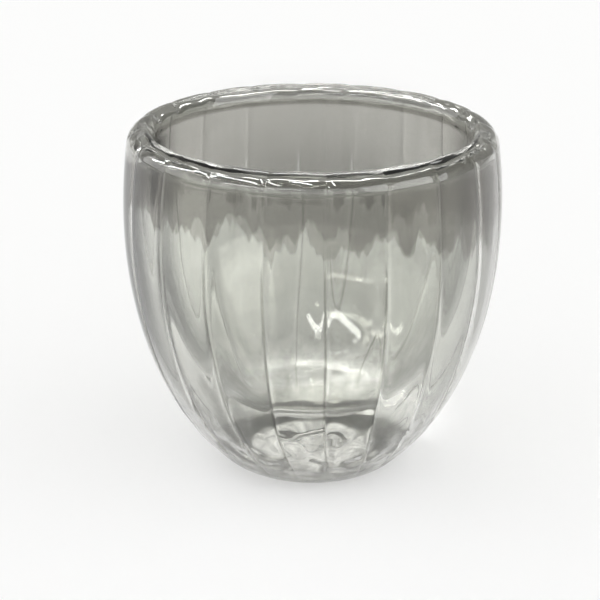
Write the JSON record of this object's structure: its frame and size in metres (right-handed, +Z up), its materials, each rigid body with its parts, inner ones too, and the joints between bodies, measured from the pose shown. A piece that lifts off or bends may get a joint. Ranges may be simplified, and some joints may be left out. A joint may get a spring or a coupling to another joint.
{
  "type": "chai glass",
  "caption": "Double-walled clear glass cup with a ribbed egg-shaped outer glass, a smooth inner bowl fused at a round lip, and a sealed vent under the base.",
  "frame": {"origin": "centre of the ring that the glass stands on, at the height of the table", "axes": "+Z up the middle of the bowl, out of its mouth"},
  "size_m": [0.0878, 0.0878, 0.0825],
  "materials": {
    "outer_glass": "clear, fire polished, pressed ribs",
    "bowl_glass": "clear, fire polished, smooth",
    "seal_glass": "clear, fire polished, rounded"
  },
  "bodies": {
    "root": {"outer_shell": "outer_glass", "inner_bowl": "bowl_glass", "vent_plug": "seal_glass"}
  },
  "joints": []
}
